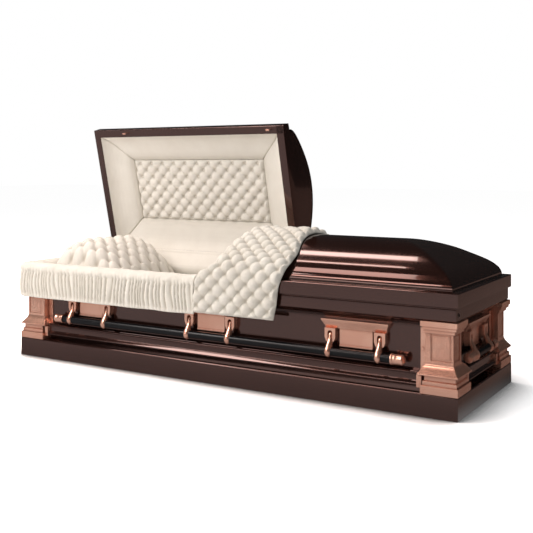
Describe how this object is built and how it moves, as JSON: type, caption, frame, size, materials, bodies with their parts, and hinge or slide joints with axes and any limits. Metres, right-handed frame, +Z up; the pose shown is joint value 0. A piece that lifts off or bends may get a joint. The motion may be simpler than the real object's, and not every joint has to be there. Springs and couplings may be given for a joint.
{
  "type": "funeral casket",
  "caption": "Full-size metal casket with a split hinged lid, head half open on a tufted cream interior, corner posts, swing bar handles and a quilted throw.",
  "frame": {"origin": "centre of the flat underside", "axes": "+X along the length towards the foot end, +Y towards the hinge side, +Z up"},
  "size_m": [2.157, 0.8092, 1.0906],
  "materials": {
    "shell_paint": "deep brown metallic lacquer with a clear gloss coat",
    "copper_hardware": "rose copper, antique satin with darker hollows",
    "handle_bar": "satin black bar with rose copper tips",
    "hinge_steel": "semi-gloss brown",
    "socket_steel": "plain steel",
    "bed_steel": "plain grey enamel",
    "velvet_lining": "cream crepe and velvet, soft sheen",
    "quilt_cloth": "off-white shirred and tufted velvet"
  },
  "bodies": {
    "casket_body": {"floor_pan": "shell_paint", "base_skirt": "shell_paint", "lower_moulding": "shell_paint", "body_shell": "shell_paint", "top_moulding": "shell_paint", "post_foot_front": "copper_hardware", "post_foot_back": "copper_hardware", "post_head_front": "copper_hardware", "post_head_back": "copper_hardware", "lug_front_head": "copper_hardware", "lug_front_middle": "copper_hardware", "lug_front_foot": "copper_hardware", "lug_back_head": "copper_hardware", "lug_back_middle": "copper_hardware", "lug_back_foot": "copper_hardware", "lug_foot_end": "copper_hardware", "lug_head_end": "copper_hardware", "head_hinge_body_leaves": "hinge_steel", "foot_hinge_body_leaves": "hinge_steel", "lock_socket": "socket_steel", "bed_frame": "bed_steel", "mattress": "velvet_lining", "body_lining": "velvet_lining", "pillow": "velvet_lining", "extendover": "quilt_cloth", "hinge_apron": "velvet_lining"},
    "head_lid": {"head_lid_rim": "shell_paint", "head_lid_crown": "shell_paint", "head_lid_header": "shell_paint", "head_lid_border": "velvet_lining", "head_lid_panel": "velvet_lining", "head_lid_latches": "copper_hardware", "head_hinge_lid_leaves": "hinge_steel"},
    "foot_lid": {"foot_lid_rim": "shell_paint", "foot_lid_crown": "shell_paint", "foot_lid_header": "shell_paint", "foot_lid_lining": "velvet_lining", "foot_hinge_lid_leaves": "hinge_steel", "throw": "quilt_cloth"},
    "front_handle": {"front_bar": "handle_bar", "front_arm_1": "copper_hardware", "front_arm_2": "copper_hardware", "front_arm_3": "copper_hardware", "front_arm_4": "copper_hardware", "front_arm_5": "copper_hardware", "front_arm_6": "copper_hardware"},
    "back_handle": {"back_bar": "handle_bar", "back_arm_1": "copper_hardware", "back_arm_2": "copper_hardware", "back_arm_3": "copper_hardware", "back_arm_4": "copper_hardware", "back_arm_5": "copper_hardware", "back_arm_6": "copper_hardware"},
    "foot_handle": {"foot_bar": "handle_bar", "foot_arm_1": "copper_hardware", "foot_arm_2": "copper_hardware"},
    "head_handle": {"head_bar": "handle_bar", "head_arm_1": "copper_hardware", "head_arm_2": "copper_hardware"}
  },
  "joints": [
    {"name": "head_lid_hinge", "type": "hinge", "parent": "casket_body", "child": "head_lid", "pos_m": [0, 0.349, 0.419], "axis": [1, 0, 0], "range_deg": [0, 76.6], "deforming": ["extendover", "throw", "pillow", "hinge_apron"]},
    {"name": "foot_lid_hinge", "type": "hinge", "parent": "casket_body", "child": "foot_lid", "pos_m": [0, 0.349, 0.419], "axis": [1, 0, 0], "range_deg": [-76.6, 0], "deforming": ["throw"]},
    {"name": "front_handle_swing", "type": "hinge", "parent": "casket_body", "child": "front_handle", "pos_m": [0, -0.296, 0.25], "axis": [1, 0, 0], "range_deg": [-65, 0]},
    {"name": "back_handle_swing", "type": "hinge", "parent": "casket_body", "child": "back_handle", "pos_m": [0, 0.296, 0.25], "axis": [1, 0, 0], "range_deg": [0, 65]},
    {"name": "foot_handle_swing", "type": "hinge", "parent": "casket_body", "child": "foot_handle", "pos_m": [1.031, 0, 0.25], "axis": [0, 1, 0], "range_deg": [-65, 0]},
    {"name": "head_handle_swing", "type": "hinge", "parent": "casket_body", "child": "head_handle", "pos_m": [-1.031, 0, 0.25], "axis": [0, 1, 0], "range_deg": [0, 65]}
  ]
}
